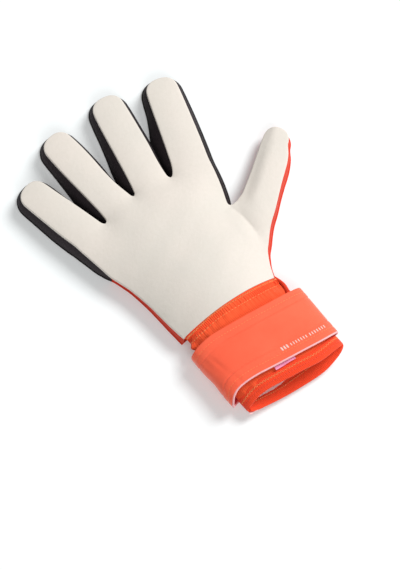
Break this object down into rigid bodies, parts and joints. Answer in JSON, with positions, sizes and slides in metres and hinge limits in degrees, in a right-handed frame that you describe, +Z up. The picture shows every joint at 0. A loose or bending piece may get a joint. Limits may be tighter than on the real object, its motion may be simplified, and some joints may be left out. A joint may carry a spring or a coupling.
{
  "type": "goalkeeper glove",
  "caption": "Right-hand flat-cut goalkeeper glove: latex foam palm, black mesh gussets, orange backhand, elastic cuff and a wide wrist strap; fingers, thumb and strap tail bend.",
  "frame": {"origin": "middle of the glove's footprint, on the surface it lies on", "axes": "+Z up out of the palm, +Y from the wrist towards the fingertips, +X towards the thumb"},
  "size_m": [0.2122, 0.2802, 0.0314],
  "materials": {
    "latex_palm": "matt latex foam with a soft, slightly grippy face",
    "backhand_fabric": "matt orange-red fabric over foam",
    "gusset_mesh": "black ribbed mesh, matt",
    "cuff_elastic": "orange-red ribbed elastic, matt",
    "strap_fabric": "orange knitted strap webbing with a slight sheen",
    "strap_inner": "dark crimson brushed loop fabric",
    "inner_lining": "pink towelling-like lining",
    "pale_trim": "pale pink woven tape",
    "hook_tape": "dark hook tape"
  },
  "bodies": {
    "hand": {"palm_latex": "latex_palm", "palm_lining": "inner_lining", "backhand_panel": "backhand_fabric", "little_side_wrap": "backhand_fabric", "little_side_gusset": "gusset_mesh", "index_side_gusset": "gusset_mesh", "thumb_side_wrap": "backhand_fabric", "web_ring_little": "gusset_mesh", "web_middle_ring": "gusset_mesh", "web_index_middle": "gusset_mesh", "web_thumb_index": "gusset_mesh", "cuff_palm_elastic": "cuff_elastic", "cuff_palm_hem": "cuff_elastic", "cuff_back_elastic": "cuff_elastic", "cuff_back_hem": "cuff_elastic", "cuff_lining": "inner_lining", "strap_band": "strap_fabric", "strap_lining": "strap_inner", "strap_piping": "pale_trim", "loop_patch": "strap_inner", "strap_tab": "pale_trim", "care_label": "pale_trim"},
    "index_base": {"index_palm_base": "latex_palm", "index_back_base": "backhand_fabric", "index_gusset_base_thumbside": "gusset_mesh", "index_gusset_base_littleside": "gusset_mesh"},
    "index_tip": {"index_palm_tip": "latex_palm", "index_back_tip": "backhand_fabric", "index_gusset_tip": "gusset_mesh"},
    "middle_base": {"middle_palm_base": "latex_palm", "middle_back_base": "backhand_fabric", "middle_gusset_base_thumbside": "gusset_mesh", "middle_gusset_base_littleside": "gusset_mesh"},
    "middle_tip": {"middle_palm_tip": "latex_palm", "middle_back_tip": "backhand_fabric", "middle_gusset_tip": "gusset_mesh"},
    "ring_base": {"ring_palm_base": "latex_palm", "ring_back_base": "backhand_fabric", "ring_gusset_base_thumbside": "gusset_mesh", "ring_gusset_base_littleside": "gusset_mesh"},
    "ring_tip": {"ring_palm_tip": "latex_palm", "ring_back_tip": "backhand_fabric", "ring_gusset_tip": "gusset_mesh"},
    "little_base": {"little_palm_base": "latex_palm", "little_back_base": "backhand_fabric", "little_gusset_base_thumbside": "gusset_mesh", "little_gusset_base_littleside": "gusset_mesh"},
    "little_tip": {"little_palm_tip": "latex_palm", "little_back_tip": "backhand_fabric", "little_gusset_tip": "gusset_mesh"},
    "thumb_base": {"thumb_palm_base": "latex_palm", "thumb_back_base": "backhand_fabric", "thumb_gusset_base_thumbside": "backhand_fabric", "thumb_gusset_base_littleside": "backhand_fabric"},
    "thumb_tip": {"thumb_palm_tip": "latex_palm", "thumb_back_tip": "backhand_fabric", "thumb_gusset_tip": "backhand_fabric"},
    "strap_tail": {"strap_tail": "strap_fabric", "hook_patch": "hook_tape"}
  },
  "joints": [
    {"name": "index_knuckle_bend", "type": "hinge", "parent": "hand", "child": "index_base", "pos_m": [0.02409, 0.05425, 0.02025], "axis": [0.9945, -0.1045, 0], "range_deg": [0, 80], "stiffness_Nm_per_rad": 0.02},
    {"name": "index_middle_bend", "type": "hinge", "parent": "index_base", "child": "index_tip", "pos_m": [0.03116, 0.0875, 0.01936], "axis": [0.9945, -0.1045, 0], "range_deg": [0, 85], "stiffness_Nm_per_rad": 0.015},
    {"name": "middle_knuckle_bend", "type": "hinge", "parent": "hand", "child": "middle_base", "pos_m": [-0.01125, 0.05825, 0.02025], "axis": [0.9994, -0.0349, 0], "range_deg": [0, 80], "stiffness_Nm_per_rad": 0.02},
    {"name": "middle_middle_bend", "type": "hinge", "parent": "middle_base", "child": "middle_tip", "pos_m": [-0.00874, 0.09416, 0.01935], "axis": [0.9994, -0.0349, 0], "range_deg": [0, 85], "stiffness_Nm_per_rad": 0.015},
    {"name": "ring_knuckle_bend", "type": "hinge", "parent": "hand", "child": "ring_base", "pos_m": [-0.0434, 0.0565, 0.02025], "axis": [0.9956, 0.0932, 0], "range_deg": [0, 80], "stiffness_Nm_per_rad": 0.02},
    {"name": "ring_middle_bend", "type": "hinge", "parent": "ring_base", "child": "ring_tip", "pos_m": [-0.04972, 0.08991, 0.01938], "axis": [0.9956, 0.0932, 0], "range_deg": [0, 85], "stiffness_Nm_per_rad": 0.015},
    {"name": "little_knuckle_bend", "type": "hinge", "parent": "hand", "child": "little_base", "pos_m": [-0.0747, 0.04845, 0.02025], "axis": [0.9853, 0.1711, 0], "range_deg": [0, 80], "stiffness_Nm_per_rad": 0.02},
    {"name": "little_middle_bend", "type": "hinge", "parent": "little_base", "child": "little_tip", "pos_m": [-0.08381, 0.07387, 0.01943], "axis": [0.9853, 0.1711, 0], "range_deg": [0, 85], "stiffness_Nm_per_rad": 0.015},
    {"name": "thumb_knuckle_bend", "type": "hinge", "parent": "hand", "child": "thumb_base", "pos_m": [0.0477, -0.00245, 0.02025], "axis": [0.6691, -0.7431, 0], "range_deg": [0, 60], "stiffness_Nm_per_rad": 0.02},
    {"name": "thumb_middle_bend", "type": "hinge", "parent": "thumb_base", "child": "thumb_tip", "pos_m": [0.07073, 0.01829, 0.01937], "axis": [0.6691, -0.7431, 0], "range_deg": [0, 75], "stiffness_Nm_per_rad": 0.015},
    {"name": "strap_tail_peel", "type": "hinge", "parent": "hand", "child": "strap_tail", "pos_m": [0.04285, -0.09805, 0.0011], "axis": [0.1345, -0.9909, 0], "range_deg": [0, 170]}
  ]
}
